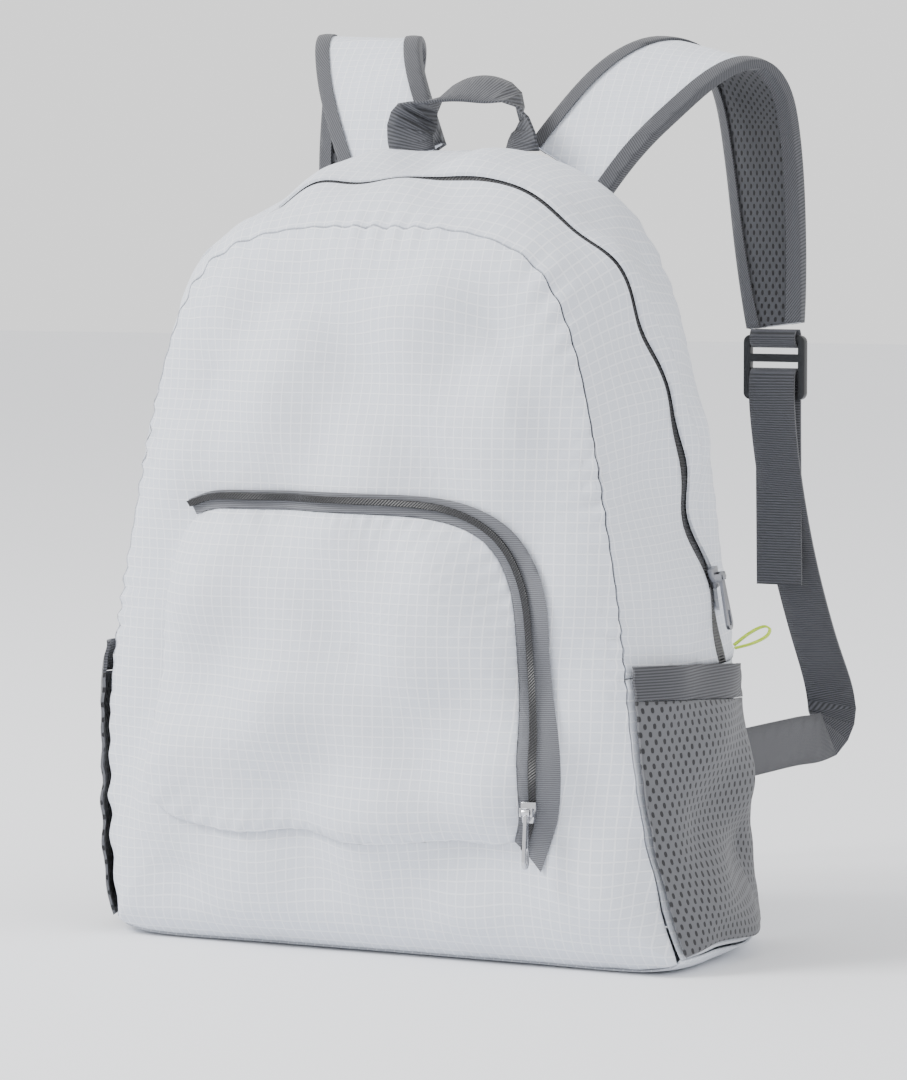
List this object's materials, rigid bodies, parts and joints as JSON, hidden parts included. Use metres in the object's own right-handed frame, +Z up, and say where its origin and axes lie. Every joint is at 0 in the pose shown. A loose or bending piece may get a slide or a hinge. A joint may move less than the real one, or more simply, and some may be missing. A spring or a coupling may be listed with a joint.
{
  "type": "packable backpack",
  "caption": "Light packable daypack with an arched main zip, a zipped front pocket, side mesh pockets, padded straps and a grab handle.",
  "frame": {"origin": "on the floor under the middle of the whole bag, straps included", "axes": "+Z up as the bag stands, the front faces -Y, +X is the right side seen from the front"},
  "size_m": [0.3466, 0.2906, 0.4574],
  "materials": {
    "ripstop": "white coated ripstop nylon",
    "mesh": "dark grey knitted mesh",
    "webbing": "dark grey ribbed webbing",
    "zip_tape": "grey herringbone tape",
    "zip_coil": "black nylon coil",
    "buckle": "black moulded acetal",
    "gunmetal": "gunmetal plated",
    "nickel": "nickel plated",
    "ribbon": "lime ribbon"
  },
  "bodies": {
    "bag": {"front_panel": "ripstop", "back_panel": "ripstop", "base_panel": "ripstop", "right_side_panel": "ripstop", "left_side_panel": "ripstop", "front_gusset": "ripstop", "rear_gusset": "ripstop", "zip_flap": "ripstop", "front_pocket": "ripstop", "right_strap_pad": "ripstop", "left_strap_pad": "ripstop", "right_mesh_pocket": "mesh", "right_strap_mesh": "mesh", "left_mesh_pocket": "mesh", "left_strap_mesh": "mesh", "grab_handle": "webbing", "right_pocket_hem": "webbing", "right_strap_inner_binding": "webbing", "right_strap_outer_binding": "webbing", "right_strap_tab": "webbing", "right_webbing": "webbing", "left_pocket_hem": "webbing", "left_strap_inner_binding": "webbing", "left_strap_outer_binding": "webbing", "left_strap_tab": "webbing", "left_webbing": "webbing", "pocket_zip_tape": "zip_tape", "main_zip": "zip_coil", "pocket_zip_coil": "zip_coil", "right_ladder_lock": "buckle", "left_ladder_lock": "buckle", "main_zip_slider": "gunmetal", "pocket_zip_slider": "nickel", "side_loop": "ribbon"},
    "main_pull": {"main_zip_pull": "gunmetal"},
    "pocket_pull": {"pocket_zip_pull": "nickel"}
  },
  "joints": [
    {"name": "main_pull_swing", "type": "hinge", "parent": "bag", "child": "main_pull", "pos_m": [0.14694, -0.02432, 0.18471], "axis": [0.118, -0.9763, -0.1817], "range_deg": [0, 140]},
    {"name": "pocket_pull_swing", "type": "hinge", "parent": "bag", "child": "pocket_pull", "pos_m": [0.09831, -0.13883, 0.07789], "axis": [-0.989, -0.1461, -0.0215], "range_deg": [0, 140]}
  ]
}
